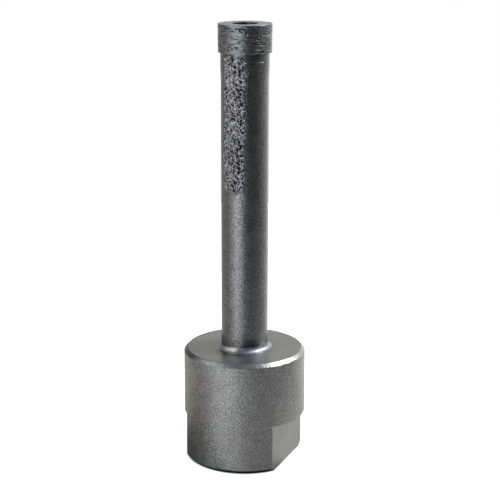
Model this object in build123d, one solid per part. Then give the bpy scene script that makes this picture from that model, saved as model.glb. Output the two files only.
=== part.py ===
from build123d import *
import math
import os
import random

# A dry diamond core bit for an angle grinder. It stands on its hub: the origin is the centre of the hub's
# seat face, +Z runs up the tube to the crown, and the spanner flats face +X and -X. Millimetres.

# Crown and tube
crown_diameter = 12.0
crown_height = 6.2
crown_taper = 0.05          # the crown's foot is this much smaller in radius than its cutting end
crown_wall = 3.1
crown_edge = 0.12           # broken edges of the cutting end
side_clearance = 0.65       # from the crown's side in to the tube's
tube_wall = 1.95
tube_reach = 67.8           # bare tube between the hub and the crown
land_length = 3.3           # turned land that trues the tube under the crown
land_step = 0.11
land_runout = 2.6           # taper from the land down to the tube
spigot_wall = 1.0
spigot_length = 2.0

# Hub
hub_diameter = 28.0
hub_chamfer = 0.85
seat_chamfer = 0.85
flats_across = 21.5
flats_height = 11.0
thread_diameter = 14.0      # M14 x 2, drawn as a plain wall at the thread's root
thread_depth = 17.0
mouth_chamfer = 0.8
relief_length = 2.0         # undercut where the thread runs out
relief_step = 0.35
web_thickness = 1.7         # floor that the tube's end seats on
socket_depth = 5.5

# Brazing
braze_gap = 0.05            # radial room for the brazing metal, and under the spigot's end
braze_leg = 1.25
braze_toe = 0.06            # thickness that the fillet runs out to

# Grit strips
strip_count = 2
strip_angle = -94.0         # middle of the first strip, in degrees from +X
strip_length = 30.4
strip_width = 6.0           # round the tube
strip_setback = 0.4         # bare land between the strip and the crown
strip_corner = 1.6
strip_edge_points = 48
edge_stray = 0.22           # how far the hand-laid edge wanders in and out
edge_slow_waves = 7         # waves of that wander in one trip round the strip
edge_quick_waves = 17
bond_thickness = 0.1        # nickel that holds the crystals, over the tube's land
bond_sides = 36             # flats that the bond's surface would have all the way round
crystal_smallest = 0.42
crystal_largest = 0.56
crystal_pitch = 1.12
crystal_sink = 0.1          # how far a crystal's middle lies under the bond's surface
crystal_jitter = 0.18
crystal_seed = 14

# What follows from them
tube_diameter = crown_diameter - 2 * side_clearance
tube_bore = tube_diameter - 2 * tube_wall
crown_bore = crown_diameter - 2 * crown_wall
spigot_diameter = tube_bore + 2 * spigot_wall
tube_seat = thread_depth + relief_length + web_thickness
hub_height = tube_seat + socket_depth
crown_foot = hub_height + tube_reach
crown_top = crown_foot + crown_height
spigot_top = crown_foot + spigot_length
land_foot = crown_foot - land_length
bond_radius = tube_diameter / 2 + land_step + bond_thickness
strip_top = crown_foot - strip_setback
strip_middle = strip_top - strip_length / 2


def turned(*profile):
    """A solid turned about the Z axis from (radius, height) corners."""
    corners = [(radius, 0, height) for radius, height in profile]
    return revolve(make_face(Polyline(*corners, close=True)), Axis.Z)


def make_hub():
    """Round hub with the spindle thread below, the tube's socket above and two spanner flats."""
    rim = hub_diameter / 2
    thread_wall = thread_diameter / 2
    relief_wall = thread_wall + relief_step
    relief_top = thread_depth + relief_length
    socket_wall = tube_diameter / 2 + braze_gap
    passage = tube_bore / 2
    hub = turned(
        (thread_wall + mouth_chamfer, 0),
        (rim - seat_chamfer, 0),
        (rim, seat_chamfer),
        (rim, hub_height - hub_chamfer),
        (rim - hub_chamfer, hub_height),
        (socket_wall, hub_height),
        (socket_wall, tube_seat),
        (passage, tube_seat),
        (passage, relief_top),
        (relief_wall, relief_top),
        (relief_wall, thread_depth),
        (thread_wall, thread_depth),
        (thread_wall, mouth_chamfer),
    )
    on_the_floor = (Align.MIN, Align.CENTER, Align.MIN)
    milled_away = Box(hub_diameter, 2 * hub_diameter, flats_height, align=on_the_floor)
    first_flat = Pos(flats_across / 2, 0, 0) * milled_away
    second_flat = Rot(0, 0, 180) * first_flat
    return hub - first_flat - second_flat


def make_tube():
    """Tube with its turned land and the spigot that centres the crown."""
    inside = tube_bore / 2
    outside = tube_diameter / 2
    return turned(
        (inside, tube_seat),
        (outside, tube_seat),
        (outside, land_foot - land_runout),
        (outside + land_step, land_foot),
        (outside + land_step, crown_foot),
        (spigot_diameter / 2, crown_foot),
        (spigot_diameter / 2, spigot_top),
        (inside, spigot_top),
    )


def make_braze_ring():
    """Hollow fillet of brazing metal in the corner between the tube and the hub's top."""
    inside = tube_diameter / 2
    outer_toe = (inside + braze_leg, 0, hub_height + braze_toe)
    upper_toe = (inside + braze_toe, 0, hub_height + braze_leg)
    corner = (inside, 0, hub_height)
    along_the_tube = Polyline(upper_toe, (inside, 0, upper_toe[2]), corner)
    along_the_hub = Polyline(corner, (outer_toe[0], 0, hub_height), outer_toe)
    deepest = braze_leg - (braze_leg - braze_toe) * math.sqrt(0.5)
    hollow = ThreePointArc(outer_toe, (inside + deepest, 0, hub_height + deepest), upper_toe)
    return revolve(make_face([along_the_tube, along_the_hub, hollow]), Axis.Z)


def make_crown():
    """Diamond ring, a little wider at its cutting end, counterbored over the tube's spigot."""
    tip = crown_diameter / 2
    foot = tip - crown_taper
    inside = crown_bore / 2
    counterbore = spigot_diameter / 2 + braze_gap
    counterbore_top = spigot_top + braze_gap
    return turned(
        (counterbore, crown_foot),
        (foot, crown_foot),
        (tip, crown_top - crown_edge),
        (tip - crown_edge, crown_top),
        (inside + crown_edge, crown_top),
        (inside, crown_top - crown_edge),
        (inside, counterbore_top),
        (counterbore, counterbore_top),
    )


def tube_outside():
    """The outside of the tube and its land, between the hub and the crown, as a plug."""
    outside = tube_diameter / 2
    return turned(
        (0, hub_height),
        (outside, hub_height),
        (outside, land_foot - land_runout),
        (outside + land_step, land_foot),
        (outside + land_step, crown_foot),
        (0, crown_foot),
    )


def strip_outline():
    """The strip laid flat: a rounded rectangle whose hand-laid edge strays in and out."""
    edge = RectangleRounded(strip_width, strip_length, strip_corner).wire()
    points = []
    for number in range(strip_edge_points):
        share = number / strip_edge_points
        turn = 2 * math.pi * share
        wave = math.sin(edge_slow_waves * turn) + math.cos(edge_quick_waves * turn)
        outward = edge.tangent_at(share).rotate(Axis.Z, -90)
        points.append(edge.position_at(share) + outward * (edge_stray * wave / 2))
    return make_face(Polyline(*points, close=True))


def strip_crystals(outline):
    """Diamond crystals, set at random angles in rows round the tube and up the strip."""
    chance = random.Random(crystal_seed)
    rows = round(strip_length / crystal_pitch)
    columns = round(strip_width / crystal_pitch)
    crystals = []
    for row in range(rows):
        for column in range(columns):
            across = (column - (columns - 1) / 2) * crystal_pitch
            across += chance.uniform(-crystal_jitter, crystal_jitter)
            up = (row - (rows - 1) / 2) * crystal_pitch
            up += chance.uniform(-crystal_jitter, crystal_jitter)
            size = chance.uniform(crystal_smallest, crystal_largest)
            tumble = Rot(*[chance.uniform(0, 90) for turn in range(3)])
            round_the_tube = Rot(0, 0, math.degrees(across / bond_radius))
            place = round_the_tube * Pos(bond_radius - crystal_sink, 0, strip_middle + up)
            if outline.is_inside(Vector(across, up, 0)):
                crystals.append(place * tumble * Box(size, size, size))
    return crystals


def make_grit_strip():
    """A strip of diamond crystals standing out of their bond, seated on the tube and its land."""
    outline = strip_outline()
    facing_out = Plane(origin=(0, 0, strip_middle), x_dir=(0, 1, 0), z_dir=(1, 0, 0))
    bar = extrude(facing_out * outline, amount=crown_diameter)
    sleeve = Pos(0, 0, hub_height) * extrude(RegularPolygon(bond_radius, bond_sides), tube_reach)
    strip = (sleeve & bar) + strip_crystals(outline)
    return strip - tube_outside()


def main():
    nodes = {
        "m14_hub": make_hub(),
        "core_tube": make_tube(),
        "braze_ring": make_braze_ring(),
        "diamond_crown": make_crown(),
    }
    strip = make_grit_strip()
    for number in range(strip_count):
        angle = strip_angle + number * 360 / strip_count
        nodes[f"grit_strip_{number + 1}"] = Rot(0, 0, angle) * strip
    os.makedirs("parts", exist_ok=True)
    for name, solid in nodes.items():
        export_step(solid, f"parts/{name}.step")


main()
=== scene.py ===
import math
import random

import bmesh
import bpy
from mathutils import Matrix, Vector, noise


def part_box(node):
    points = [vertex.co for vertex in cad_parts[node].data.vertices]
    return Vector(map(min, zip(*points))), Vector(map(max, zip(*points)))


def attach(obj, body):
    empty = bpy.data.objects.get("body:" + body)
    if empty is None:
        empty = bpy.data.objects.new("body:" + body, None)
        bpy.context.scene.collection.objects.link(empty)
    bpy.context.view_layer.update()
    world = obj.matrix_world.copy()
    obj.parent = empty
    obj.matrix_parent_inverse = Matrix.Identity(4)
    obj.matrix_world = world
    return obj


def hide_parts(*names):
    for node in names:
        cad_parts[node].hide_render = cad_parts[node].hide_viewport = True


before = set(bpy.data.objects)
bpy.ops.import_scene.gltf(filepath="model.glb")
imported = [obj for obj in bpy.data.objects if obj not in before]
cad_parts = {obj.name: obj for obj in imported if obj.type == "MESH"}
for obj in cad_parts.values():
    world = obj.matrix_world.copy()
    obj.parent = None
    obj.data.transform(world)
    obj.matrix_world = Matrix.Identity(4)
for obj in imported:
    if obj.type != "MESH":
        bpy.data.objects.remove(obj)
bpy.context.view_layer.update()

# A dry diamond core bit, dressed for looking at. Sizes are in millimetres and become metres as a mesh is
# made. The origin is the centre of the hub's seat, +Z runs up the tube and the spanner flats face +X and -X.

MM = 0.001


def node_size(node):
    """Lowest and highest corner of a piece of the frame, in millimetres."""
    low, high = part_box(node)
    return low / MM, high / MM


hub_high = node_size("m14_hub")[1]
tube_low = node_size("core_tube")[0]
crown_low, crown_high = node_size("diamond_crown")

# Hub
HUB_RADIUS = 14.0
HUB_TOP = hub_high.z
RIM_CHAMFER = 0.85
SEAT_CHAMFER = 0.85
FLAT_DISTANCE = 10.75           # from the axis to a spanner flat
FLAT_TOP = 11.0
FLAT_POINTS = 48                # across a flat
ARC_POINTS = 62                 # round the hub from one flat to the other
EDGE_BREAK = 0.12               # machined edges are only just broken
BORE_BREAK = 0.05
RELIEF_BREAK = 0.1
WIDE_FACE_WEIGHT = 90           # keeps the wide faces flat in shading beside their small broken edges
THREAD_WALL = 7.0
THREAD_TOP = 17.0
MOUTH_CHAMFER = 0.8
RELIEF_WALL = 7.35
RELIEF_TOP = 19.0

# Thread
THREAD_CREST = 5.918
THREAD_PITCH = 2.0
THREAD_ROOT_WIDTH = 1.75
THREAD_CREST_WIDTH = 0.5
THREAD_CREST_ROUND = 0.06       # the crest's corners stand back by this
THREAD_CREST_LEVEL = 0.8        # share of the crest's width between them
THREAD_STEPS = 96               # steps in one turn
THREAD_FADE = 0.5               # turns over which each end fades into the wall
THREAD_END_HEIGHT = 0.03        # share of the height that is left at the very end
THREAD_END_SPREAD = 0.5         # how far the crest widens towards the root's width there
THREAD_SHARP = 25               # degrees
SEATING = 0.02                  # how far a seated skin reaches into what carries it

# Tube
TURNED_STEPS = 256
PLAIN_GRID = 1.5                # longest step along a plain turned face
TUBE_SEAT = tube_low.z
TUBE_RADIUS = 5.35
TUBE_BORE = 3.4
LAND_RADIUS = 5.46
LAND_FOOT = 90.7
LAND_RUNOUT = 2.6
LAND_BEND = 0.6                 # the taper's two ends are rounded off over this
LAND_LEAD = 1.0                 # the fine grid starts this far below the taper
ON_THE_SIDE = 0.1               # a point this near to a side's radius is on it
SEAT_MARGIN = 0.01              # tube and crown are left plain where they seat on each other
CROWN_FOOT = crown_low.z
SPIGOT_RADIUS = 4.4
SPIGOT_LENGTH = 2.0
SPIGOT_BREAK = 0.1
SPIGOT_TOP = CROWN_FOOT + SPIGOT_LENGTH
TURNING_PITCH = 0.2             # fine lines that the lathe left on the land
TURNING_GRID = TURNING_PITCH / 3
TURNING_DEPTH = 0.02
TURNING_BIAS = 0.6              # the lines are cut in and hardly stand out
GROOVES = (92.3, 90.4)
GROOVE_WIDTH = 0.15
GROOVE_DEPTH = 0.07

# Brazing
BRAZE_GAP = 0.05                # room for the brazing metal round and over what sits in a socket
SOCKET_WALL = TUBE_RADIUS + BRAZE_GAP
COUNTERBORE = SPIGOT_RADIUS + BRAZE_GAP
COUNTERBORE_TOP = SPIGOT_TOP + BRAZE_GAP
BRAZE_LEG = 1.25
BRAZE_TOE = 0.06
FILLET_STEPS = 14
FILLET_MIDDLE = 0.72            # the fillet's size on average, as a share of the full one
FILLET_RUN = 0.45               # how much it gains on its heavy side
FILLET_HEAVY_SIDE = math.radians(-30)
FILLET_SHARP = 35               # degrees

# Crown
CROWN_TOP = crown_high.z
CROWN_RADIUS = crown_high.x
CROWN_TAPER = 0.05
CROWN_BORE = 2.9
CROWN_EDGE = 0.06
CROWN_FOOT_BREAK = 0.08
CROWN_GRID = 0.075
CROWN_STEPS = 460
CROWN_SKIN = 0.2                # what is this near to the crown's side or end is worn
BORE_MARGIN = 0.05              # the bore is left plain
CROWN_FADE = 0.4                # the wear on its side fades out this near to the cutting end
LUMP_PITCH = 0.9
LUMP_DEPTH = 0.035
RIDGE_WAVES = 3.2               # waves of the ridges in one radian
RIDGE_PITCH = 0.27
RIDGE_DEPTH = 0.045
PORE_PITCH = 0.6
PORE_SHARE = 0.24
PORE_REACH = 0.42
PORE_DEPTH = 0.16
PORE_CHANCE = 7.3               # spreads the pores' cells far enough apart to be independent
SCRATCH_SEED = 5
SCRATCH_COUNT = 110
SCRATCH_WIDTH = 0.11
SCRATCH_DEPTH = 0.075
SCRATCH_SHALLOWEST = 0.4        # share of that depth
SCRATCH_HALF_LENGTHS = (0.5, 1.4)
SCRATCH_ROOM_BELOW = 0.3
SCRATCH_ROOM_ABOVE = 0.5

# Grit strips
STRIP_ANGLE = -94.0
STRIP_COUNT = 2
STRIP_WIDTH = 6.0
STRIP_TOP = 93.6
STRIP_LENGTH = 30.4
STRIP_MIDDLE = STRIP_TOP - STRIP_LENGTH / 2
STRIP_CORNER = 1.6
BOND_RADIUS = 5.52
BOND_GRID = 0.085
EDGE_STRAY = 0.7                # how far the hand-laid edge wanders
SIDE_STRAY_WAVES = 1.5
SIDE_STRAY_PITCH = 1.3
SIDE_STRAY_POWER = 3            # a higher power keeps the straying nearer to the edge
END_STRAY_PITCH = 1.1
END_STRAY_POWER = 8
SKIN_FADE = 0.35                # the skin thins out this near to its edge
SKIN_RISE = 3                   # at its very edge it thins out at most this many times faster
RAGGED_PITCH = 0.7
RAGGED_REACH = 0.7              # how far in the ragged edge lies on average, in widths of the fade
CRYSTAL_CORNER = 0.3            # cut off each corner, as a share of the crystal's width
CRYSTAL_TONE = 0.9
BOND_LEVEL = 0.2                # the bond stands this far over its own thin edge
LUMP_SIZE = 0.6
LUMP_HEIGHT = 0.6
RUB_SIZE = 0.28
RUB_HEIGHT = 0.16
RUB_SHIFT = 0.1                 # sets the rubs' noise apart from the lumps' one, in metres
RELIEF_TWIST = 0.4
PIT_SIZE = 0.68
PIT_SHARE = 0.46
PIT_DEPTH = 0.45
PIT_LEAN = math.radians(-35)    # the pits lean over to the left as they rise
PIT_STRETCH = (1.0, 1.25, 0.8)
PIT_WANDER = 0.35
PIT_WANDER_SCALE = 1.5
PIT_SMALLEST = 0.12             # reach of the smallest pit, in pit sizes
PIT_FLOOR = 0.35                # share of a pit's reach that is its flat floor
EDGE_TONE = 0.5                 # the bond's thin edge is no darker than the tube
FULL_HEIGHT = 0.22              # the bond is at its brightest from here up
GRIT_SEED = 11
GRIT_PITCH = 0.95
GRIT_SMALLEST = 0.38
GRIT_LARGEST = 0.6
GRIT_SINK = 0.12
GRIT_CROWDING = 5.0e7           # tries for a crystal to the square metre, before the pitch thins them
WETTING_HEIGHT = 0.1            # the bond is drawn up round each crystal
WETTING_REACH = 0.45

# The grit tree's own inputs, with sizes in metres: name, kind of socket and value
GRIT_INPUTS = [
    ("Seed", "Int", GRIT_SEED),
    ("Pitch", "Float", GRIT_PITCH * MM),
    ("Smallest", "Float", GRIT_SMALLEST * MM),
    ("Largest", "Float", GRIT_LARGEST * MM),
    ("Sink", "Float", GRIT_SINK * MM),
    ("Wetting Height", "Float", WETTING_HEIGHT * MM),
    ("Wetting Reach", "Float", WETTING_REACH * MM),
    ("Level", "Float", BOND_LEVEL * MM),
    ("Lump Size", "Float", LUMP_SIZE * MM),
    ("Lump Height", "Float", LUMP_HEIGHT * MM),
    ("Rub Size", "Float", RUB_SIZE * MM),
    ("Rub Height", "Float", RUB_HEIGHT * MM),
    ("Pit Size", "Float", PIT_SIZE * MM),
    ("Pit Share", "Float", PIT_SHARE),
    ("Pit Depth", "Float", PIT_DEPTH * MM),
]

# Marks, finishes, painted light and painted shade: sizes of grain in millimetres and colours in linear light
MARK_START = math.radians(-41)
MARK_END = math.radians(-68)
MARK_WIDTH = 0.2
MARK_STRENGTH = 0.45
FLAT_MARGIN = 0.05              # the round side starts this far inside the flat's distance
# painted shade on the seat chamfer fades out between these two heights
SEAT_SHADE_TO = SEAT_CHAMFER - 0.15
SEAT_UNSHADED_FROM = SEAT_CHAMFER + 0.1
# painted shade round the fillet fades out between these distances
SHADE_NEAR = 1.0                 # from the corner between tube and hub
SHADE_FAR = 3.8
BARE_STEEL = (0.5, 0.5, 0.5, 1)
# the colour of the painted shade on the hub and tube
PAINTED_SHADE_COLOUR = (0.015, 0.015, 0.016, 1)
GROOVE_DARK = (0.05, 0.049, 0.052, 1)
GROOVE_DARK_SHARE = 0.75
GROOVE_DARK_DEPTH = -0.05       # a line cut this deep is at its darkest
GRAIN_LOW = 0.3                 # noise hardly leaves this range
GRAIN_HIGH = 0.7
FLAKE_SIZE = 0.36
FLAKE_DETAIL = 1.5
DRIFT_SIZE = 2.5
DRIFT_DETAIL = 3.0
DRIFT_SHARE = 0.25              # how much of the paint's spread is drift, beside the flake's
PEBBLE_SIZE = 0.42
PAINT_DARKEST = 0.32            # of that spread
PAINT_LIGHTEST = 0.68
ROUGH_SPREAD = 0.03
SMOOTH_BORDER = 0.5             # from smooth paint to pebbled paint
SMOOTH_SHARE = 0.35             # of the flake and the pebbles that show in smooth paint
CROWN_STRETCH = (0.5, 0.5, 2.6)  # draws the crown's grain out round it
MOTTLE_SIZE = 0.8
MOTTLE_CONTRAST = 2.2
FLECK_SIZE = 0.3
FLECK_DEPTH = 0.015
PORE_DARK_DEPTH = -0.1
PROUD_BRIGHT_HEIGHT = 0.05
CROWN_DARK = (0.015, 0.017, 0.018)
CROWN_LIGHT = (0.275, 0.284, 0.292)
CUTTING_METAL = (0.25, 0.254, 0.258, 1)
CUTTING_FROM = CROWN_TOP - 0.04
BORE_METAL = (0.07, 0.072, 0.076, 1)
BORE_METAL_TO = CROWN_BORE + 0.01
SIDE_METAL_FROM = CROWN_BORE + 0.09
CROWN_METALLIC = 0.95
CROWN_ROUGHNESS = (0.33, 0.46)  # from its flecks' lows to their highs
SPECK_SIZE = 0.42
SPECK_DEPTH = 0.015
SPECK_RUB = (0.35, 1.25)
GRIT_SHADE_DARK = (0.008, 0.008, 0.009)
GRIT_LIGHT = (0.43, 0.421, 0.444)
GRIT_METALLIC = 0.88
GRIT_ROUGHNESS = 0.46

# Camera, floor and light
CAMERA_AZIMUTH = 23.1
CAMERA_DISTANCE = 301.3
CAMERA_HEIGHT = 129.5
CAMERA_PITCH = 14.946
CAMERA_YAW = 0.227
CAMERA_ROLL = 0.147
CAMERA_LENS = 98.73
SENSOR_WIDTH = 36.0
NEAREST_SEEN = 10.0
FURTHEST_SEEN = 20000.0
FLOOR_RADIUS = 260.0
FLOOR_SIDES = 96
FLOOR_SOLID = 25.0              # the floor is whole for light this near the axis
FLOOR_GONE = 220.0
FLOOR_NEAR = 20.0               # the near tones hold to here and the far ones from the next distance on
FLOOR_FURTHER = 60.0
FLOOR_GLOW = 0.95               # lifts the pale floor to white for the camera
SEAT_SHADOW = 0.2               # the glow is full this far inside the hub's radius
WHITE = (1, 1, 1, 1)
LAMP_DISTANCE = 600.0
WALL_TOP = 16.0                 # degrees above the horizon
CEILING_FOOT = 34.0
CEILING = (0.085, 0.1, 0.125, 1)
NEUTRAL = (1.0, 1.0, 0.985)
PLAIN = (1.02, 1.0, 0.97)
WARM = (1.09, 1.0, 0.88)
STRAW = (1.02, 1.02, 0.95)
COOL = (0.96, 0.99, 1.03)
DUSK = (0.85, 0.92, 1.25)

# Tint and brightness by bearing. For the room and its floor the bearing is in degrees to the right of the
# camera's side of the part; for the painted light and shade on the part it is in degrees from +X.
ROOM_WALLS = [
    (-180, STRAW, 1.1), (-166, STRAW, 0.98), (-148, WARM, 0.43), (-120, WARM, 0.42), (-88, WARM, 0.34),
    (-62, COOL, 1.0), (-35, COOL, 2.45), (-16, COOL, 1.1), (0, COOL, 0.06), (30, DUSK, 0.012),
    (62, DUSK, 0.03), (90, NEUTRAL, 0.26), (118, NEUTRAL, 0.68), (140, STRAW, 1.2), (158, STRAW, 1.75),
    (180, STRAW, 1.1),
]
# The floor's tones are painted light: lighter towards the window on the left and behind, dim to the right.
FLOOR_PAINTED_LIGHT = [
    (-180, PLAIN, 0.75), (-125, WARM, 0.66), (-88, WARM, 0.48), (-62, PLAIN, 0.68), (-40, PLAIN, 1.0),
    (-15, PLAIN, 0.8), (8, PLAIN, 0.45), (40, PLAIN, 0.38), (90, PLAIN, 0.36), (118, STRAW, 0.72),
    (140, STRAW, 1.0), (165, STRAW, 1.0), (180, PLAIN, 0.7),
]
# Nearer the part the floor is darker: painted shadow, darkest to the left where the key lamp's shadow falls.
NEAR_FLOOR_PAINTED_SHADE = [
    (-180, PLAIN, 0.6), (-125, WARM, 0.4), (-88, WARM, 0.2), (-62, PLAIN, 0.33), (-40, PLAIN, 0.74),
    (-15, PLAIN, 0.6), (8, PLAIN, 0.34), (40, PLAIN, 0.3), (52, PLAIN, 0.4), (66, STRAW, 0.67),
    (90, STRAW, 0.67), (118, STRAW, 0.69), (140, STRAW, 0.72), (180, PLAIN, 0.6),
]
# Painted light and shade on the fillet, by bearing: a painted highlight on one side and painted shade beside
# it.
FILLET_LIGHT_AND_SHADE = [
    (-180, NEUTRAL, 0.8), (-129, NEUTRAL, 0.8), (-112, WARM, 1.5), (-94, WARM, 1.45), (-80, COOL, 0.55),
    (-63, COOL, 0.6), (-47, COOL, 0.7), (-7, COOL, 0.75), (33, NEUTRAL, 0.8), (180, NEUTRAL, 0.8),
]
# Painted shade on the hub's top beside the fillet, by bearing.
HUB_SHADE_BY_FILLET = [
    (-180, NEUTRAL, 0.1), (-137, NEUTRAL, 0.1), (-117, NEUTRAL, 0.85), (-79, NEUTRAL, 0.8),
    (-63, NEUTRAL, 0.25), (-7, NEUTRAL, 0.15), (113, NEUTRAL, 0.1), (180, NEUTRAL, 0.1),
]
# Painted shade on the hub's top chamfer, by bearing: how strong it is on each side.
CHAMFER_SHADE_SIDES = [
    (-180, NEUTRAL, 0.35), (-155, NEUTRAL, 0.6), (-129, NEUTRAL, 0.6), (-119, NEUTRAL, 0.25),
    (-109, NEUTRAL, 0.0), (113, NEUTRAL, 0.0), (180, NEUTRAL, 0.35),
]
# Painted shade at the tube's foot beside the fillet, by bearing.
TUBE_SHADE_BY_FILLET = [
    (-180, NEUTRAL, 0.0), (-79, NEUTRAL, 0.0), (-64, NEUTRAL, 0.7), (-35, NEUTRAL, 0.65),
    (-19, NEUTRAL, 0.0), (180, NEUTRAL, 0.0),
]


# ---------------------------------------------------------------- nodes


def new_tree(owner):
    owner.use_nodes = True
    owner.node_tree.nodes.clear()
    return owner.node_tree


def add(tree, kind, inputs=None, **settings):
    """A node with its settings and inputs; an input is a value or another node's output."""
    made = tree.nodes.new(kind)
    for setting, value in settings.items():
        setattr(made, setting, value)
    for name, value in (inputs or {}).items():
        if isinstance(value, bpy.types.NodeSocket):
            tree.links.new(value, made.inputs[name])
        else:
            made.inputs[name].default_value = value
    return made


def calc(tree, operation, *values, **settings):
    """A sum on numbers and other nodes' outputs."""
    made = add(tree, "ShaderNodeMath", dict(enumerate(values)), operation=operation, **settings)
    return made.outputs[0]


def vector_calc(tree, operation, *values):
    """A sum on vectors; a length or a dot product is a number."""
    made = add(tree, "ShaderNodeVectorMath", dict(enumerate(values)), operation=operation)
    return made.outputs["Value" if operation in ("LENGTH", "DOT_PRODUCT") else 0]


def scaled(tree, vector, factor):
    return add(tree, "ShaderNodeVectorMath", {0: vector, 3: factor}, operation="SCALE").outputs[0]


def axes(tree, place):
    """The X, Y and Z of a place."""
    return add(tree, "ShaderNodeSeparateXYZ", {0: place}).outputs


def from_axis(tree, place):
    """How far a place is from the part's axis."""
    return vector_calc(tree, "LENGTH", vector_calc(tree, "MULTIPLY", place, (1, 1, 0)))


def between(tree, value, low, high, to_low=0.0, to_high=1.0, **settings):
    """The value's way from low to high, as one from to_low to to_high that stops at both."""
    made = add(
        tree, "ShaderNodeMapRange",
        {"Value": value, "From Min": low, "From Max": high, "To Min": to_low, "To Max": to_high},
        **settings,
    )
    return made.outputs[0]


def mixed(tree, share, under, over, **settings):
    """The colour under, with the other one laid over it by the share."""
    made = add(tree, "ShaderNodeMix", {0: share, 6: under, 7: over}, data_type="RGBA", **settings)
    return made.outputs[2]


def by_degrees(tree, across, along, stops):
    """A colour that changes round a circle, from stops of (degrees, tint, brightness)."""
    share = between(tree, calc(tree, "ARCTAN2", across, along), -math.pi, math.pi)
    ramp = add(tree, "ShaderNodeValToRGB", {0: share})
    ramp.color_ramp.interpolation = "EASE"
    while len(ramp.color_ramp.elements) < len(stops):
        ramp.color_ramp.elements.new(0.5)
    for stop, (degrees, tint, brightness) in zip(ramp.color_ramp.elements, stops):
        stop.position = degrees / 360 + 0.5
        stop.color = (*(brightness * part for part in tint), 1)
    return ramp.outputs[0]


def round_the_part(tree, place, stops):
    """A colour that changes round the part's own axis, in degrees from +X."""
    parts = axes(tree, place)
    return by_degrees(tree, parts["Y"], parts["X"], stops)


# ---------------------------------------------------------------- camera, floor and light


def turn(axis, degrees):
    return Matrix.Rotation(math.radians(degrees), 4, axis)


def from_camera_side(right, away, up):
    """A direction given to the right of, away from and above the camera, in the part's own frame."""
    return turn("Z", CAMERA_AZIMUTH) @ Vector((right, away, up)).normalized()


def link(piece):
    bpy.context.scene.collection.objects.link(piece)
    return piece


def make_camera():
    data = bpy.data.cameras.new("camera")
    data.lens = CAMERA_LENS
    data.sensor_width = SENSOR_WIDTH
    data.clip_start = NEAREST_SEEN * MM
    data.clip_end = FURTHEST_SEEN * MM
    camera = link(bpy.data.objects.new("camera", data))
    place = turn("Z", CAMERA_AZIMUTH) @ Vector((0, -CAMERA_DISTANCE * MM, CAMERA_HEIGHT * MM))
    heading = turn("Z", CAMERA_AZIMUTH - CAMERA_YAW)
    camera.matrix_world = (
        Matrix.Translation(place) @ heading @ turn("X", 90 - CAMERA_PITCH) @ turn("Z", CAMERA_ROLL)
    )
    bpy.context.scene.camera = camera


def by_bearing(tree, direction, stops):
    """A colour of the studio by bearing: 0 is the camera's side of it and + is to the camera's right."""
    rightward = vector_calc(tree, "DOT_PRODUCT", direction, from_camera_side(1, 0, 0))
    forward = vector_calc(tree, "DOT_PRODUCT", direction, from_camera_side(0, -1, 0))
    return by_degrees(tree, rightward, forward, stops)


def open_floor(tree, place, away):
    """1 on the floor round the hub and 0 under it, where it stands on its seat."""
    sideways = calc(tree, "ABSOLUTE", axes(tree, place)["X"])
    past_flat = calc(tree, "GREATER_THAN", sideways, FLAT_DISTANCE * MM)
    past_seat = between(tree, away, (HUB_RADIUS - SEAT_CHAMFER) * MM, (HUB_RADIUS - SEAT_SHADOW) * MM)
    return calc(tree, "MAXIMUM", past_flat, past_seat)


def pale_floor():
    """Takes the part's shadow, fades out under the room and looks white to the camera; its tones are painted
    light from the window and painted shadow near the part.
    """
    material = bpy.data.materials.new("pale floor")
    tree = new_tree(material)
    looked_at = add(tree, "ShaderNodeLightPath").outputs["Is Camera Ray"]
    place = add(tree, "ShaderNodeTexCoord").outputs["Object"]
    away = vector_calc(tree, "LENGTH", place)
    further = between(tree, away, FLOOR_NEAR * MM, FLOOR_FURTHER * MM)
    near_floor_shade = by_bearing(tree, place, NEAR_FLOOR_PAINTED_SHADE)
    far_floor_light = by_bearing(tree, place, FLOOR_PAINTED_LIGHT)
    pale = add(tree, "ShaderNodeBsdfDiffuse", {"Color": mixed(tree, further, near_floor_shade, far_floor_light)})
    glow_shown = calc(tree, "MULTIPLY", looked_at, open_floor(tree, place, away))
    glow_level = calc(tree, "MULTIPLY", glow_shown, FLOOR_GLOW)
    glow = add(tree, "ShaderNodeEmission", {"Color": WHITE, "Strength": glow_level})
    both = add(tree, "ShaderNodeAddShader", {0: pale.outputs[0], 1: glow.outputs[0]})
    faded = between(tree, away, FLOOR_SOLID * MM, FLOOR_GONE * MM, interpolation_type="SMOOTHSTEP")
    clear = calc(tree, "MULTIPLY", faded, calc(tree, "SUBTRACT", 1.0, looked_at))
    open_air = add(tree, "ShaderNodeBsdfTransparent")
    surface = add(tree, "ShaderNodeMixShader", {0: clear, 1: both.outputs[0], 2: open_air.outputs[0]})
    add(tree, "ShaderNodeOutputMaterial", {"Surface": surface.outputs[0]})
    return material


def make_floor():
    bm = bmesh.new()
    bmesh.ops.create_circle(bm, cap_ends=True, radius=FLOOR_RADIUS * MM, segments=FLOOR_SIDES)
    mesh = bpy.data.meshes.new("floor")
    bm.to_mesh(mesh)
    bm.free()
    mesh.materials.append(pale_floor())
    floor = link(bpy.data.objects.new("floor", mesh))


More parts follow.
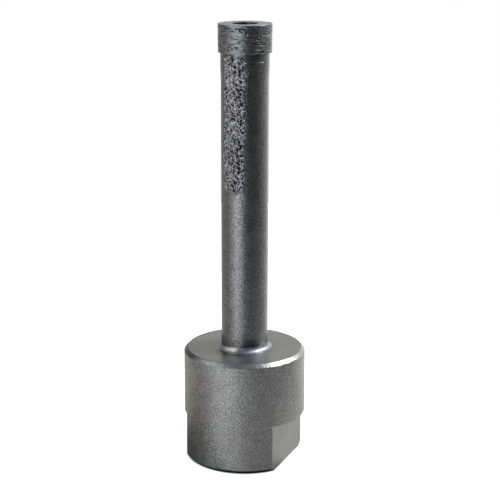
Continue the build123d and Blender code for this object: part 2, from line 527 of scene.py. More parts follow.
def make_room():
    """A pale room: a window to the left of the camera, a dim side to its right, light walls behind."""
    world = bpy.data.worlds.new("room")
    bpy.context.scene.world = world
    tree = new_tree(world)
    direction = add(tree, "ShaderNodeTexCoord").outputs["Generated"]
    walls = by_bearing(tree, direction, ROOM_WALLS)
    height = vector_calc(tree, "DOT_PRODUCT", direction, (0, 0, 1))
    wall_top, ceiling_foot = math.sin(math.radians(WALL_TOP)), math.sin(math.radians(CEILING_FOOT))
    overhead = between(tree, height, wall_top, ceiling_foot, interpolation_type="SMOOTHSTEP")
    lit = mixed(tree, overhead, walls, CEILING)
    looked_at = add(tree, "ShaderNodeLightPath").outputs["Is Camera Ray"]
    background = add(
        tree, "ShaderNodeBackground", {"Color": mixed(tree, looked_at, lit, WHITE), "Strength": 1.0},
    )
    add(tree, "ShaderNodeOutputWorld", {"Surface": background.outputs[0]})


def make_lamp(name, towards, size, brightness, colour):
    """A round lamp that looks so many millimetres wide and so bright from the part."""
    data = bpy.data.lights.new(name, "AREA")
    data.shape = "DISK"
    data.size = size * MM
    data.energy = brightness * math.pi ** 2 * (size * MM / 2) ** 2
    data.color = colour
    lamp = link(bpy.data.objects.new(name, data))
    lamp.location = towards * LAMP_DISTANCE * MM
    lamp.rotation_mode = "QUATERNION"
    lamp.rotation_quaternion = towards.to_track_quat("Z", "Y")


make_camera()
make_floor()
make_room()
make_lamp(
    "key", from_camera_side(right=0.655, away=0.1, up=0.745),
    size=230, brightness=37, colour=(0.975, 0.99, 1.04),
)
make_lamp(
    "fill", from_camera_side(right=-0.68, away=-0.12, up=0.72),
    size=400, brightness=2.2, colour=(0.9, 0.95, 1.0),
)


# ---------------------------------------------------------------- finishes, painted light and painted shade


def in_millimetres(tree):
    return scaled(tree, add(tree, "ShaderNodeTexCoord").outputs["Object"], 1 / MM)


def grain(tree, place, size, detail=2.0, roughness=0.5):
    """Noise from 0 to 1 whose specks are about so many millimetres across."""
    made = add(
        tree, "ShaderNodeTexNoise",
        {"Vector": place, "Scale": 1 / size, "Detail": detail, "Roughness": roughness},
    )
    return made.outputs["Fac"]


def attribute(tree, name):
    return add(tree, "ShaderNodeAttribute", attribute_name=name).outputs["Fac"]


def bumped(tree, height, depth):
    """A bump as deep as this, in metres."""
    return add(tree, "ShaderNodeBump", {"Height": height, "Distance": depth}).outputs[0]


def shaded(tree, dark, light, share):
    return mixed(tree, share, (*dark, 1), (*light, 1))


def finished(tree, colour, metallic, rough, normal):
    surface = add(
        tree, "ShaderNodeBsdfPrincipled",
        {"Base Color": colour, "Metallic": metallic, "Roughness": rough, "Normal": normal},
    )
    add(tree, "ShaderNodeOutputMaterial", {"Surface": surface.outputs[0]})


def with_painted_shade(tree, colour, share):
    """The colour with painted shade laid over it, as thick as the share."""
    return mixed(tree, share, colour, PAINTED_SHADE_COLOUR)


def on_round_side(tree, place):
    """1 on the hub's round side and 0 on its spanner flats."""
    across = calc(tree, "ABSOLUTE", axes(tree, place)["X"])
    return calc(tree, "LESS_THAN", across, FLAT_DISTANCE - FLAT_MARGIN)


def painted_seat_shade(tree, place, colour):
    """Painted shade on the chamfer round the hub's seat, where it stands on the floor."""
    above = between(tree, axes(tree, place)["Z"], SEAT_SHADE_TO, SEAT_UNSHADED_FROM)
    on_flat = calc(tree, "SUBTRACT", 1.0, on_round_side(tree, place))
    under = calc(tree, "LESS_THAN", from_axis(tree, place), HUB_RADIUS - SEAT_CHAMFER - EDGE_BREAK)
    unshaded = calc(tree, "MAXIMUM", calc(tree, "MAXIMUM", above, on_flat), under)
    return with_painted_shade(tree, colour, calc(tree, "SUBTRACT", 1.0, unshaded))


def cutter_mark(tree, place, colour):
    """The cutter has grazed the round side beside each flat, at the flat's top."""
    parts = axes(tree, place)
    bearing = calc(tree, "ARCTANGENT", calc(tree, "DIVIDE", parts["Y"], parts["X"]))
    beside = calc(tree, "LESS_THAN", bearing, 0.0)
    along = calc(tree, "MULTIPLY", between(tree, bearing, MARK_END, MARK_START), beside)
    reach = calc(tree, "MULTIPLY", along, on_round_side(tree, place))
    off = calc(tree, "ABSOLUTE", calc(tree, "SUBTRACT", parts["Z"], FLAT_TOP))
    line = between(tree, off, MARK_WIDTH / 2, MARK_WIDTH, MARK_STRENGTH, 0.0)
    return mixed(tree, calc(tree, "MULTIPLY", line, reach), colour, BARE_STEEL)


def painted_chamfer_shade(tree, place, colour):
    """Painted shade on one side of the chamfer round the hub's top."""
    foot, inner = HUB_TOP - RIM_CHAMFER, HUB_RADIUS - RIM_CHAMFER
    high = between(tree, axes(tree, place)["Z"], foot, foot + EDGE_BREAK)
    wide = between(tree, from_axis(tree, place), inner - EDGE_BREAK, inner)
    on_chamfer = calc(tree, "MULTIPLY", high, wide)
    sided = round_the_part(tree, place, CHAMFER_SHADE_SIDES)
    return with_painted_shade(tree, colour, calc(tree, "MULTIPLY", on_chamfer, sided))


def fillet_painted_shade(tree, place, colour, sides):
    """Painted shade round the fillet, on the hub's top and the tube's foot, heavier on some sides."""
    outward = calc(tree, "SUBTRACT", from_axis(tree, place), TUBE_RADIUS)
    upward = calc(tree, "SUBTRACT", axes(tree, place)["Z"], HUB_TOP)
    offset = add(tree, "ShaderNodeCombineXYZ", {0: outward, 1: upward}).outputs[0]
    near = between(tree, vector_calc(tree, "LENGTH", offset), SHADE_NEAR, SHADE_FAR, 1.0, 0.0)
    share = calc(tree, "MULTIPLY", near, round_the_part(tree, place, sides))
    return with_painted_shade(tree, colour, share)


def darker_in_grooves(tree, colour):
    """Darker down in the turning lines and the land's two grooves."""
    share = between(tree, attribute(tree, "relief"), GROOVE_DARK_DEPTH, 0.0, GROOVE_DARK_SHARE, 0.0)
    return mixed(tree, share, colour, GROOVE_DARK)


# The hub: the cutter's mark, with painted shade on the seat chamfer, the top chamfer and beside the fillet.
def hub_marks_and_shade(tree, place, colour):
    colour = painted_seat_shade(tree, place, colour)
    colour = cutter_mark(tree, place, colour)
    colour = painted_chamfer_shade(tree, place, colour)
    return fillet_painted_shade(tree, place, colour, HUB_SHADE_BY_FILLET)


# The tube: darker in its grooves, with painted shade at its foot by the fillet.
def tube_grooves_and_shade(tree, place, colour):
    return fillet_painted_shade(tree, place, darker_in_grooves(tree, colour), TUBE_SHADE_BY_FILLET)


def painted_fillet_light(tree, place, colour):
    """Painted light and shade round the fillet: lighter on some sides and darker on others."""
    return mixed(tree, 1.0, colour, round_the_part(tree, place, FILLET_LIGHT_AND_SHADE), blend_type="MULTIPLY")


def metallic_paint(name, dark, light, metallic, rough, pebble_depth, smooth_within=0.0, marks_and_light=None):
    """Sprayed anthracite paint: metal flake, a pebbled skin and soft drift; smoother within a radius.
    marks_and_light lays marks, painted light and painted shade over the colour.
    """
    material = bpy.data.materials.new(name)
    tree = new_tree(material)
    place = in_millimetres(tree)
    flake = grain(tree, place, FLAKE_SIZE, FLAKE_DETAIL)
    drift = grain(tree, place, DRIFT_SIZE, DRIFT_DETAIL)
    pebbles = grain(tree, place, PEBBLE_SIZE, detail=1.0)
    strength = between(
        tree, from_axis(tree, place), smooth_within, smooth_within + SMOOTH_BORDER, SMOOTH_SHARE, 1.0,
    )
    spread = calc(tree, "MULTIPLY_ADD", calc(tree, "SUBTRACT", flake, 0.5), strength, 0.5)
    spread = calc(tree, "MULTIPLY_ADD", calc(tree, "SUBTRACT", drift, 0.5), DRIFT_SHARE, spread)
    colour = shaded(tree, dark, light, between(tree, spread, PAINT_DARKEST, PAINT_LIGHTEST))
    if marks_and_light is not None:
        colour = marks_and_light(tree, place, colour)
    roughness = between(tree, drift, GRAIN_LOW, GRAIN_HIGH, rough - ROUGH_SPREAD, rough + ROUGH_SPREAD)
    skin = bumped(tree, pebbles, calc(tree, "MULTIPLY", strength, pebble_depth * MM))
    finished(tree, colour, metallic, roughness, skin)
    return material


def sintered_metal():
    """Sintered diamond metal under the same coat: painted shade down in its pores, lighter where it stands
    proud, and bare where it cuts.
    """
    material = bpy.data.materials.new("sintered crown")
    tree = new_tree(material)
    place = in_millimetres(tree)
    drawn_out = vector_calc(tree, "MULTIPLY", place, CROWN_STRETCH)
    mottle = grain(tree, drawn_out, MOTTLE_SIZE, detail=4.0, roughness=0.65)
    flecks = grain(tree, drawn_out, FLECK_SIZE, roughness=0.6)
    # Colour by relief: painted shade down in the pores, lighter where the metal stands proud.
    proud = between(tree, attribute(tree, "relief"), PORE_DARK_DEPTH, PROUD_BRIGHT_HEIGHT)
    share = calc(tree, "MULTIPLY_ADD", mottle, MOTTLE_CONTRAST, -MOTTLE_CONTRAST / 2)
    share = calc(tree, "ADD", share, proud, use_clamp=True)
    cutting = between(tree, axes(tree, place)["Z"], CROWN_TOP - CROWN_EDGE, CUTTING_FROM)
    outer = mixed(tree, cutting, shaded(tree, CROWN_DARK, CROWN_LIGHT, share), CUTTING_METAL)
    outside = between(tree, from_axis(tree, place), BORE_METAL_TO, SIDE_METAL_FROM)
    colour = mixed(tree, outside, BORE_METAL, outer)
    roughness = between(tree, flecks, GRAIN_LOW, GRAIN_HIGH, *CROWN_ROUGHNESS)
    finished(tree, colour, CROWN_METALLIC, roughness, bumped(tree, flecks, FLECK_DEPTH * MM))
    return material


def grit_metal():
    """Nickel-brazed grit under the coat: bright on the crystals, with painted shade down in the bond's pits
    between them.
    """
    material = bpy.data.materials.new("brazed grit")
    tree = new_tree(material)
    specks = grain(tree, in_millimetres(tree), SPECK_SIZE, roughness=0.6)
    rubbed = between(tree, specks, GRAIN_LOW, GRAIN_HIGH, *SPECK_RUB)
    share = calc(tree, "MULTIPLY", attribute(tree, "proud"), rubbed, use_clamp=True)
    colour = shaded(tree, GRIT_SHADE_DARK, GRIT_LIGHT, share)
    finished(tree, colour, GRIT_METALLIC, GRIT_ROUGHNESS, bumped(tree, specks, SPECK_DEPTH * MM))
    return material


HUB_PAINT = metallic_paint(
    "hub paint", dark=(0.183, 0.181, 0.176), light=(0.36, 0.356, 0.347), metallic=0.9, rough=0.39,
    pebble_depth=0.1, smooth_within=13.4, marks_and_light=hub_marks_and_shade,
)
TUBE_PAINT = metallic_paint(
    "tube paint", dark=(0.12, 0.119, 0.124), light=(0.268, 0.268, 0.274), metallic=0.88, rough=0.31,
    pebble_depth=0.06, marks_and_light=tube_grooves_and_shade,
)
# The fillet has the hub's coat; its lighter colours here are painted light.
LIGHTENED_FILLET_PAINT = metallic_paint(
    "lightened fillet paint", dark=(0.32, 0.328, 0.346), light=(0.45, 0.46, 0.486), metallic=0.95, rough=0.5,
    pebble_depth=0.01, marks_and_light=painted_fillet_light,
)
THREAD_METAL = metallic_paint(
    "cut thread", dark=(0.1, 0.1, 0.1), light=(0.2, 0.2, 0.2), metallic=0.8, rough=0.3, pebble_depth=0.006,
)
CROWN_METAL = sintered_metal()
GRIT_METAL = grit_metal()


# ---------------------------------------------------------------- making meshes


def point_at(radius, angle, height):
    """A point by its distance from the axis, its angle from +X and its height."""
    return Vector((radius * math.cos(angle), radius * math.sin(angle), height))


def mesh_from(bm, name):
    """A smooth mesh with its faces turned outwards."""
    bmesh.ops.recalc_face_normals(bm, faces=bm.faces)
    for face in bm.faces:
        face.smooth = True
    mesh = bpy.data.meshes.new(name)
    bm.to_mesh(mesh)
    bm.free()
    return mesh


def softened(corners, steps=3):
    """The closed outline with each (radius, height, break) corner rounded off by its break."""
    outline = []
    for number, (radius, height, size) in enumerate(corners):
        corner = Vector((radius, height))
        if size == 0:
            outline.append(corner)
            continue
        before = Vector(corners[number - 1][:2]) - corner
        after = Vector(corners[(number + 1) % len(corners)][:2]) - corner
        start = corner + before.normalized() * size
        end = corner + after.normalized() * size
        for step in range(steps + 1):
            share = step / steps
            outline.append(start.lerp(corner, share).lerp(corner.lerp(end, share), share))
    return outline


def divided(outline, fine, worked):
    """The closed outline with its long sides cut up: finely on the worked faces, coarsely on the rest."""
    points = []
    for number, here in enumerate(outline):
        there = outline[(number + 1) % len(outline)]
        longest = fine if worked(here) and worked(there) else PLAIN_GRID
        cuts = max(1, math.ceil((there - here).length / longest))
        points += [here.lerp(there, cut / cuts) for cut in range(cuts)]
    return points


def turned_rings(outline, steps):
    """The outline's points, each carried round the axis."""
    angles = [2 * math.pi * step / steps for step in range(steps)]
    return [[point_at(radius, angle, height) for angle in angles] for radius, height in outline]


def closed_mesh(name, rings):
    """A closed mesh from rings of points in millimetres; each ring joins the next and the last the first."""
    bm = bmesh.new()
    rows = [[bm.verts.new(point * MM) for point in ring] for ring in rings]
    for number, row in enumerate(rows):
        above = rows[(number + 1) % len(rows)]
        for step in range(len(row)):
            beside = (step + 1) % len(row)
            bm.faces.new((row[step], row[beside], above[beside], above[step]))
    bmesh.ops.remove_doubles(bm, verts=bm.verts, dist=1e-7)
    return mesh_from(bm, name)


def push_surface(mesh, depth):
    """Moves every point along its normal by depth(place), in millimetres, and keeps that as 'relief'."""
    normals = [vertex.normal.copy() for vertex in mesh.vertices]
    relief = mesh.attributes.new("relief", "FLOAT", "POINT")
    for number, vertex in enumerate(mesh.vertices):
        push = depth(vertex.co / MM)
        relief.data[number].value = push
        vertex.co += normals[number] * push * MM
    mesh.update()


def sharp_at(piece, degrees):
    """Smooth shading that breaks at edges sharper than this."""
    mesh = piece.data
    bm = bmesh.new()
    bm.from_mesh(mesh)
    for edge in bm.edges:
        edge.smooth = edge.is_manifold and math.degrees(edge.calc_face_angle(0)) < degrees
    bm.to_mesh(mesh)
    bm.free()
    return piece


def dress(piece, material, slot, *nodes):
    piece.data.materials.clear()
    piece.data.materials.append(material)
    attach(piece, "root")
    if nodes:
        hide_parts(*nodes)


# ---------------------------------------------------------------- hub


def hub_side(reach, height):
    """Points round half the hub at one height: a flat, its broken edges and the arc to the other flat."""
    corner_angle = math.acos(FLAT_DISTANCE / reach)
    half_chord = math.sqrt(reach ** 2 - FLAT_DISTANCE ** 2) - EDGE_BREAK
    arc_start = corner_angle + EDGE_BREAK / reach
    side = []
    for step in range(FLAT_POINTS):
        share = 2 * step / (FLAT_POINTS - 1) - 1
        side.append(Vector((FLAT_DISTANCE, share * half_chord, height)))
    corner = Vector((FLAT_DISTANCE, half_chord + EDGE_BREAK, height))
    arc_foot = point_at(reach, arc_start, height)
    edge = side[-1].lerp(corner, 0.5).lerp(corner.lerp(arc_foot, 0.5), 0.5)
    side.append(edge)
    for step in range(ARC_POINTS):
        angle = arc_start + (math.pi - 2 * arc_start) * step / (ARC_POINTS - 1)
        side.append(point_at(reach, angle, height))
    side.append(Vector((-edge.x, edge.y, edge.z)))
    return side


def hub_section(radius, height, flats):
    """Points round the hub at one height, with or without its two flats."""
    side = hub_side(radius if flats else HUB_RADIUS, height)
    section = side + [Vector((-point.x, -point.y, point.z)) for point in side]
    if not flats:
        section = [Vector((*(point.xy.normalized() * radius), height)) for point in section]
    return section


def make_hub():
    """The turned hub, with its flats, its spindle hole below and the tube's socket above."""
    outline = softened([
        (THREAD_WALL + MOUTH_CHAMFER, 0, BORE_BREAK),
        (HUB_RADIUS - SEAT_CHAMFER, 0, EDGE_BREAK),
        (HUB_RADIUS, SEAT_CHAMFER, EDGE_BREAK),
        (HUB_RADIUS, FLAT_TOP, 0),
        (HUB_RADIUS, HUB_TOP - RIM_CHAMFER, EDGE_BREAK),
        (HUB_RADIUS - RIM_CHAMFER, HUB_TOP, EDGE_BREAK),
        (SOCKET_WALL, HUB_TOP, BORE_BREAK),
        (SOCKET_WALL, TUBE_SEAT, 0),
        (TUBE_BORE, TUBE_SEAT, BORE_BREAK),
        (TUBE_BORE, RELIEF_TOP, RELIEF_BREAK),
        (RELIEF_WALL, RELIEF_TOP, RELIEF_BREAK),
        (RELIEF_WALL, THREAD_TOP, BORE_BREAK),
        (THREAD_WALL, THREAD_TOP, BORE_BREAK),
        (THREAD_WALL, MOUTH_CHAMFER, BORE_BREAK),
    ])
    rings = []
    for radius, height in outline:
        has_flats = radius > FLAT_DISTANCE and height <= FLAT_TOP
        rings.append(hub_section(radius, height, has_flats))
        if has_flats and height == FLAT_TOP:
            rings.append(hub_section(radius, height, False))
    hub = link(bpy.data.objects.new("hub", closed_mesh("hub", rings)))
    hub.modifiers.new("true normals", "WEIGHTED_NORMAL").weight = WIDE_FACE_WEIGHT
    return hub


def make_thread_turns():
    """The M14 thread's ridge: one closed right-hand helix standing in from the wall, fading at both ends."""
    root_half, crest_half = THREAD_ROOT_WIDTH / 2, THREAD_CREST_WIDTH / 2
    bottom = MOUTH_CHAMFER + root_half
    steps = round((THREAD_TOP - root_half - bottom) / THREAD_PITCH * THREAD_STEPS)
    wall = THREAD_WALL + SEATING
    bm = bmesh.new()
    sections = []
    for step in range(steps + 1):
        angle = 2 * math.pi * step / THREAD_STEPS
        middle = bottom + THREAD_PITCH * step / THREAD_STEPS
        from_end = min(step, steps - step) / (THREAD_FADE * THREAD_STEPS)
        share = max(THREAD_END_HEIGHT, min(1.0, from_end))
        crest = THREAD_WALL - (THREAD_WALL - THREAD_CREST) * share
        shoulder = crest + THREAD_CREST_ROUND
        half = crest_half + (root_half - crest_half) * (1 - share) * THREAD_END_SPREAD
        level = half * THREAD_CREST_LEVEL
        profile = [
            (wall, middle - root_half), (shoulder, middle - half), (crest, middle - level),
            (crest, middle + level), (shoulder, middle + half), (wall, middle + root_half),
        ]
        sections.append([bm.verts.new(point_at(radius, angle, height) * MM) for radius, height in profile])
    for here, there in zip(sections, sections[1:]):
        for number in range(len(here)):
            after = (number + 1) % len(here)
            bm.faces.new((here[number], here[after], there[after], there[number]))
    bm.faces.new(sections[0])
    bm.faces.new(sections[-1][::-1])
    turns = link(bpy.data.objects.new("thread_turns", mesh_from(bm, "thread turns")))
    return sharp_at(turns, THREAD_SHARP)


dress(make_hub(), HUB_PAINT, "hub_steel", "m14_hub")
dress(make_thread_turns(), THREAD_METAL, "hub_steel")


# ---------------------------------------------------------------- tube and fillet


def on_the_land(point):
    return point.x > TUBE_RADIUS - ON_THE_SIDE and point.y > LAND_FOOT - LAND_RUNOUT - LAND_LEAD


def turning_lines(place):
    """How far the lathe's lines and two grooves push the land's surface out, which is mostly in."""
    above = (place.z - LAND_FOOT + LAND_RUNOUT) / LAND_RUNOUT
    inside = place.xy.length < SPIGOT_RADIUS + ON_THE_SIDE
    if inside or above < 0 or place.z > CROWN_FOOT - SEAT_MARGIN:
        return 0
    line = noise.noise(Vector((0, 0, place.z / TURNING_PITCH)))
    groove = max(0, 1 - min(abs(place.z - height) for height in GROOVES) / GROOVE_WIDTH)
    return TURNING_DEPTH * min(1, above) * (line - TURNING_BIAS) - GROOVE_DEPTH * groove


def make_tube():
    """The tube, its land with fine turning lines, and the spigot inside the crown."""
    outline = softened([
        (TUBE_BORE, TUBE_SEAT, 0),
        (TUBE_RADIUS, TUBE_SEAT, 0),
        (TUBE_RADIUS, LAND_FOOT - LAND_RUNOUT, LAND_BEND),
        (LAND_RADIUS, LAND_FOOT, LAND_BEND),
        (LAND_RADIUS, CROWN_FOOT, 0),
        (SPIGOT_RADIUS, CROWN_FOOT, 0),
        (SPIGOT_RADIUS, SPIGOT_TOP, SPIGOT_BREAK),
        (TUBE_BORE, SPIGOT_TOP, SPIGOT_BREAK),
    ])
    outline = divided(outline, TURNING_GRID, on_the_land)
    mesh = closed_mesh("tube", turned_rings(outline, TURNED_STEPS))
    push_surface(mesh, turning_lines)
    return link(bpy.data.objects.new("tube", mesh))


def fillet_size(angle):
    """The brazing metal ran to one side before it froze: full size there and about half opposite."""
    return min(1.0, FILLET_MIDDLE + FILLET_RUN * math.cos(angle - FILLET_HEAVY_SIDE))


def frozen_place(point):
    """The point moved in to the corner between tube and hub by the fillet's size on that side."""
    size = fillet_size(math.atan2(point.y, point.x))
    radius = point.xy.length
    outward = max(0, radius - TUBE_RADIUS) * size
    upward = max(0, point.z - HUB_TOP) * size
    level = point.xy.normalized() * (min(radius, TUBE_RADIUS) + outward)
    return Vector((*level, min(point.z, HUB_TOP) + upward))


def make_fillet():
    """The hollow fillet of brazing metal, a little uneven as it froze."""
    inside = TUBE_RADIUS - SEATING
    under = HUB_TOP - SEATING
    centre = Vector((TUBE_RADIUS + BRAZE_LEG, HUB_TOP + BRAZE_LEG))
    outline = [Vector((inside, centre.y)), Vector((inside, under)), Vector((centre.x, under))]
    for step in range(FILLET_STEPS + 1):
        angle = math.pi / 2 * step / FILLET_STEPS
        outline.append(centre - (BRAZE_LEG - BRAZE_TOE) * Vector((math.sin(angle), math.cos(angle))))
    rings = [[frozen_place(point) for point in ring] for ring in turned_rings(outline, TURNED_STEPS)]
    fillet = link(bpy.data.objects.new("fillet", closed_mesh("fillet", rings)))
    return sharp_at(fillet, FILLET_SHARP)


dress(make_tube(), TUBE_PAINT, "tube_steel", "core_tube")
dress(make_fillet(), LIGHTENED_FILLET_PAINT, "brazing_metal", "braze_ring")


# ---------------------------------------------------------------- crown


def crown_scratches():
    """Marks that drilling and dressing left round the crown: (angle, height, half length, depth)."""
    chance = random.Random(SCRATCH_SEED)
    lowest = CROWN_FOOT + SCRATCH_ROOM_BELOW
    highest = CROWN_TOP - SCRATCH_ROOM_ABOVE
    scratches = []
    for _ in range(SCRATCH_COUNT):
        angle = chance.uniform(-math.pi, math.pi)
        height = chance.uniform(lowest, highest)
        half_length = chance.uniform(*SCRATCH_HALF_LENGTHS) / CROWN_RADIUS
        depth = chance.uniform(SCRATCH_SHALLOWEST, 1.0) * SCRATCH_DEPTH
        scratches.append((angle, height, half_length, depth))
    return scratches


SCRATCHES = crown_scratches()


def in_the_work(point):
    return point.x > CROWN_RADIUS - CROWN_SKIN or point.y > CROWN_TOP - CROWN_SKIN


def scratched(angle, height):
    """How deep the scratches are at a place on the crown."""
    total = 0
    for middle, level, half_length, depth in SCRATCHES:
        above = (height - level) / SCRATCH_WIDTH
        if abs(above) < 2:
            along = min(1, abs(math.remainder(angle - middle, 2 * math.pi)) / half_length)
            total += depth * (1 - along ** 2) * math.exp(-above ** 2)
    return total


def worn(place):
    """How far lumps, ridges, pores and scratches push the crown's surface out or in."""
    if place.xy.length < CROWN_BORE + BORE_MARGIN or place.z < CROWN_FOOT + SEAT_MARGIN:
        return 0
    angle = math.atan2(place.y, place.x)
    on_side = place.xy.length > CROWN_RADIUS - CROWN_SKIN
    push = LUMP_DEPTH * noise.noise(Vector((place.x, place.y, 2 * place.z)) / LUMP_PITCH)
    if on_side:
        push += RIDGE_DEPTH * noise.noise(Vector((angle * RIDGE_WAVES, 3.0, place.z / RIDGE_PITCH)))
    distances, cells = noise.voronoi(place / PORE_PITCH)
    if noise.cell(cells[0] * PORE_CHANCE) > 1 - 2 * PORE_SHARE:
        push -= PORE_DEPTH * max(0, 1 - (distances[0] / PORE_REACH) ** 2)
    push -= scratched(angle, place.z)
    if not on_side:
        return min(0, push)
    return push * max(0, min(1, (CROWN_TOP - place.z - CROWN_EDGE) / CROWN_FADE))


def make_crown():
    """The sintered diamond ring: pores, small lumps, and scratches that run round it."""
    outline = softened([
        (COUNTERBORE, CROWN_FOOT, 0),
        (CROWN_RADIUS - CROWN_TAPER, CROWN_FOOT, CROWN_FOOT_BREAK),
        (CROWN_RADIUS, CROWN_TOP, CROWN_EDGE),
        (CROWN_BORE, CROWN_TOP, CROWN_EDGE),
        (CROWN_BORE, COUNTERBORE_TOP, 0),
        (COUNTERBORE, COUNTERBORE_TOP, 0),
    ])
    mesh = closed_mesh("crown", turned_rings(divided(outline, CROWN_GRID, in_the_work), CROWN_STEPS))
    push_surface(mesh, worn)
    return link(bpy.data.objects.new("crown", mesh))


dress(make_crown(), CROWN_METAL, "diamond_crown", "diamond_crown")


# ---------------------------------------------------------------- grit strips


def noise_at(across, up, plane):
    """Smooth noise from -1 to 1; each plane is a pattern of its own."""
    return noise.noise(Vector((across, up, plane)))


def strip_half_width(up):
    """Half the strip's width at a height from its middle, narrowing round the corners."""
    into_corner = abs(up) - (STRIP_LENGTH / 2 - STRIP_CORNER)
    if into_corner <= 0:
        return STRIP_WIDTH / 2
    return STRIP_WIDTH / 2 - STRIP_CORNER + math.sqrt(max(0, STRIP_CORNER ** 2 - into_corner ** 2))


def bond_place(share, up):
    """Across and up the strip laid flat, where its hand-laid sides and ends stray in and out."""
    side_stray = EDGE_STRAY * noise_at(share * SIDE_STRAY_WAVES, up / SIDE_STRAY_PITCH, plane=4.0)
    across = share * strip_half_width(up) + side_stray * abs(share) ** SIDE_STRAY_POWER
    end_stray = EDGE_STRAY * noise_at(across / END_STRAY_PITCH, 9.0, plane=2.0)
    return across, STRIP_MIDDLE + up + end_stray * (2 * up / STRIP_LENGTH) ** END_STRAY_POWER


def bond_skin(share, up, across):
    """1 well inside the bond's open face, and 0 out at its ragged edge."""
    from_side = (1 - abs(share)) * strip_half_width(up)
    inward = min(from_side, STRIP_LENGTH / 2 - abs(up)) / SKIN_FADE
    ragged = inward - RAGGED_REACH + noise_at(across / RAGGED_PITCH, up / RAGGED_PITCH, plane=7.0)
    return max(0.0, min(1.0, ragged, SKIN_RISE * inward))


def bond_face(bm, skin, radius, is_open):
    """One face of the bond, wrapped round the axis: rows of its points."""
    columns = round(STRIP_WIDTH / BOND_GRID)
    rows = round(STRIP_LENGTH / BOND_GRID)
    grid = []
    for row in range(rows + 1):
        up = STRIP_LENGTH * (row / rows - 0.5)
        line = []
        for column in range(columns + 1):
            share = 2 * column / columns - 1
            across, height = bond_place(share, up)
            vertex = bm.verts.new(point_at(radius, across / BOND_RADIUS, height) * MM)
            vertex[skin] = bond_skin(share, up, across) if is_open else 0.0
            line.append(vertex)
        grid.append(line)
    for lower, upper in zip(grid, grid[1:]):
        for column in range(columns):
            corners = (lower[column], lower[column + 1], upper[column + 1], upper[column])
            bm.faces.new(corners if is_open else corners[::-1])
    return grid


def rim_of(grid):
    """The points round a face's edge, in order."""
    right_side = [line[-1] for line in grid[1:]]
    left_side = [line[0] for line in grid[-2:0:-1]]
    return grid[0] + right_side + grid[-1][-2::-1] + left_side


def make_bond():
    """The bond as a closed slab wrapped on the tube; 'skin' is 1 on its open face and 0 at its edges."""
    bm = bmesh.new()
    skin = bm.verts.layers.float.new("skin")
    upper = rim_of(bond_face(bm, skin, BOND_RADIUS, True))
    lower = rim_of(bond_face(bm, skin, TUBE_RADIUS - SEATING, False))
    for number in range(len(upper)):
        after = (number + 1) % len(upper)
        bm.faces.new((upper[number], lower[number], lower[after], upper[after]))
    return mesh_from(bm, "bond")


def make_crystal():
    """A blocky diamond crystal with its corners cut off, one unit across before the tree sizes it."""
    bm = bmesh.new()
    proud = bm.verts.layers.float.new("proud")
    bmesh.ops.create_cube(bm, size=1.0)
    bmesh.ops.bevel(
        bm, geom=bm.verts[:], offset=CRYSTAL_CORNER, offset_type="OFFSET", segments=1, profile=0.5,
        affect="VERTICES",
    )
    for vertex in bm.verts:
        vertex[proud] = CRYSTAL_TONE
    return bpy.data.objects.new("crystal", mesh_from(bm, "crystal"))


def grit_inputs(tree):
    """The tree's named inputs: the bond, a crystal and the sizes."""
    sockets = tree.interface
    sockets.new_socket("Geometry", in_out="INPUT", socket_type="NodeSocketGeometry")
    sockets.new_socket("Crystal", in_out="INPUT", socket_type="NodeSocketObject")
    for name, kind, _ in GRIT_INPUTS:
        sockets.new_socket(name, in_out="INPUT", socket_type="NodeSocket" + kind)
    sockets.new_socket("Geometry", in_out="OUTPUT", socket_type="NodeSocketGeometry")
    return add(tree, "NodeGroupInput").outputs


def grit_places(tree, given, skin):
    """Points on the bond's skin, no two nearer than the pitch, with their normals."""
    bed = add(
        tree, "FunctionNodeCompare", {"A": skin, "B": 0.5}, data_type="FLOAT", operation="GREATER_THAN",
    )
    return add(
        tree, "GeometryNodeDistributePointsOnFaces",
        {"Mesh": given["Geometry"], "Selection": bed.outputs[0], "Distance Min": given["Pitch"],
         "Density Max": GRIT_CROWDING, "Seed": given["Seed"]},
        distribute_method="POISSON",
    ).outputs


def set_crystals(tree, given, scatter):
    """A crystal at every point, sunk in the bond and tumbled, with a size by chance."""
    down = calc(tree, "SUBTRACT", given["Level"], given["Sink"])
    sunk = scaled(tree, scatter["Normal"], down)
    places = add(tree, "GeometryNodeSetPosition", {"Geometry": scatter["Points"], "Offset": sunk})
    tumble = add(
        tree, "FunctionNodeRandomValue", {"Seed": given["Seed"], "Max": (2 * math.pi,) * 3},
        data_type="FLOAT_VECTOR",
    )
    tumbled = add(tree, "FunctionNodeEulerToRotation", {"Euler": tumble.outputs["Value"]})
    sizes = add(
        tree, "FunctionNodeRandomValue", {2: given["Smallest"], 3: given["Largest"]}, data_type="FLOAT",
    )
    crystal = add(tree, "GeometryNodeObjectInfo", {"Object": given["Crystal"]})
    return add(
        tree, "GeometryNodeInstanceOnPoints",
        {"Points": places.outputs[0], "Instance": crystal.outputs["Geometry"],
         "Rotation": tumbled.outputs[0], "Scale": sizes.outputs[1]},
    ).outputs[0]


def centred_noise(tree, place, size, shift):
    """Noise about 0 whose lumps have this size; another shift gives another pattern."""
    moved = vector_calc(tree, "ADD", place, (shift, 0, 0))
    finer = calc(tree, "DIVIDE", 1.0, size)
    made = add(
        tree, "ShaderNodeTexNoise",
        {"Vector": moved, "Scale": finer, "Detail": 1.0, "Distortion": RELIEF_TWIST},
    )
    return calc(tree, "SUBTRACT", made.outputs["Fac"], 0.5)


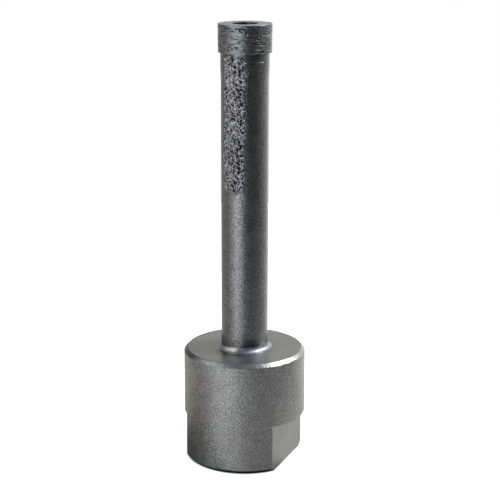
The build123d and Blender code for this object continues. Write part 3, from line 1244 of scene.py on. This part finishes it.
def bond_relief(tree, given, place, points):
    """The bond's height: lumps, rubs, and metal drawn up round each crystal."""
    lumps = centred_noise(tree, place, given["Lump Size"], 0.0)
    rubs = centred_noise(tree, place, given["Rub Size"], RUB_SHIFT)
    rise = calc(tree, "MULTIPLY_ADD", lumps, given["Lump Height"], given["Level"])
    rubbed = calc(tree, "MULTIPLY_ADD", rubs, given["Rub Height"], rise)
    nearest = add(tree, "GeometryNodeProximity", {"Geometry": points}, target_element="POINTS")
    drawn = between(
        tree, nearest.outputs["Distance"], 0.0, given["Wetting Reach"], given["Wetting Height"], 0.0,
        interpolation_type="SMOOTHSTEP",
    )
    return calc(tree, "ADD", rubbed, drawn)


def bond_pits(tree, given, place):
    """How deep the bond's leaning pits are: every cell has one, some wide and some small."""
    leaning = add(
        tree, "ShaderNodeVectorRotate", {"Vector": place, "Angle": PIT_LEAN}, rotation_type="X_AXIS",
    ).outputs[0]
    long_pits = vector_calc(tree, "MULTIPLY", leaning, PIT_STRETCH)
    in_cells = scaled(tree, long_pits, calc(tree, "DIVIDE", 1.0, given["Pit Size"]))
    wander = add(
        tree, "ShaderNodeTexNoise", {"Vector": in_cells, "Scale": PIT_WANDER_SCALE, "Detail": 1.0},
    ).outputs["Color"]
    parts = axes(tree, vector_calc(tree, "MULTIPLY_ADD", wander, (PIT_WANDER,) * 3, in_cells))
    laid_flat = add(tree, "ShaderNodeCombineXYZ", {"X": parts["Y"], "Y": parts["Z"]}).outputs[0]
    cells = add(
        tree, "ShaderNodeTexVoronoi", {"Vector": laid_flat, "Scale": 1.0, "Randomness": 1.0},
        voronoi_dimensions="2D",
    ).outputs
    chance = axes(tree, cells["Color"])["X"]
    reach = calc(tree, "ADD", calc(tree, "MULTIPLY", chance, given["Pit Share"]), PIT_SMALLEST)
    floor = calc(tree, "MULTIPLY", reach, PIT_FLOOR)
    return between(
        tree, cells["Distance"], floor, reach, given["Pit Depth"], 0.0, interpolation_type="SMOOTHSTEP",
    )


def grit_tree(material):
    """Scatters crystals over a bond's skin and draws the bond up round each of them."""
    tree = bpy.data.node_groups.new("crystals in their bond", "GeometryNodeTree")
    given = grit_inputs(tree)
    skin = add(
        tree, "GeometryNodeInputNamedAttribute", {"Name": "skin"}, data_type="FLOAT",
    ).outputs["Attribute"]
    scatter = grit_places(tree, given, skin)
    crystals = set_crystals(tree, given, scatter)
    place = add(tree, "GeometryNodeInputPosition").outputs[0]
    relief = bond_relief(tree, given, place, scatter["Points"])
    height = calc(tree, "MAXIMUM", calc(tree, "SUBTRACT", relief, bond_pits(tree, given, place)), 0.0)
    normal = add(tree, "GeometryNodeInputNormal").outputs[0]
    offset = scaled(tree, normal, calc(tree, "MULTIPLY", height, skin))
    bond = add(tree, "GeometryNodeSetPosition", {"Geometry": given["Geometry"], "Offset": offset})
    # The bond's tone falls with its height: painted shade down in its pits.
    full = between(tree, height, 0.0, FULL_HEIGHT * MM)
    tone = add(tree, "ShaderNodeMix", {"Factor": skin, "A": EDGE_TONE, "B": full}, data_type="FLOAT")
    toned = add(
        tree, "GeometryNodeStoreNamedAttribute",
        {"Geometry": bond.outputs[0], "Name": "proud", "Value": tone.outputs[0]},
        data_type="FLOAT", domain="POINT",
    )
    together = add(tree, "GeometryNodeJoinGeometry")
    tree.links.new(crystals, together.inputs[0])
    tree.links.new(toned.outputs[0], together.inputs[0])
    real = add(tree, "GeometryNodeRealizeInstances", {"Geometry": together.outputs[0]})
    finish = add(tree, "GeometryNodeSetMaterial", {"Geometry": real.outputs[0], "Material": material})
    add(tree, "NodeGroupOutput", {"Geometry": finish.outputs[0]})
    return tree


def make_strip():
    """One grit strip facing +X, as a plain mesh."""
    crystal = make_crystal()
    bed = link(bpy.data.objects.new("bond", make_bond()))
    modifier = bed.modifiers.new("grit", "NODES")
    modifier.node_group = grit_tree(GRIT_METAL)
    sockets = modifier.node_group.interface.items_tree
    identifiers = {item.name: item.identifier for item in sockets if item.in_out == "INPUT"}
    modifier[identifiers["Crystal"]] = crystal
    for name, _, value in GRIT_INPUTS:
        modifier[identifiers[name]] = value
    evaluated = bed.evaluated_get(bpy.context.evaluated_depsgraph_get())
    mesh = bpy.data.meshes.new_from_object(evaluated)
    bpy.data.objects.remove(bed)
    bpy.data.objects.remove(crystal)
    return mesh


strip_mesh = make_strip()
for number in range(STRIP_COUNT):
    mesh = strip_mesh.copy()
    mesh.transform(turn("Z", STRIP_ANGLE + number * 360 / STRIP_COUNT))
    strip = link(bpy.data.objects.new(f"strip_{number + 1}", mesh))
    dress(strip, GRIT_METAL, "brazed_grit", f"grit_strip_{number + 1}")

bpy.context.scene.view_settings.view_transform = "Standard"
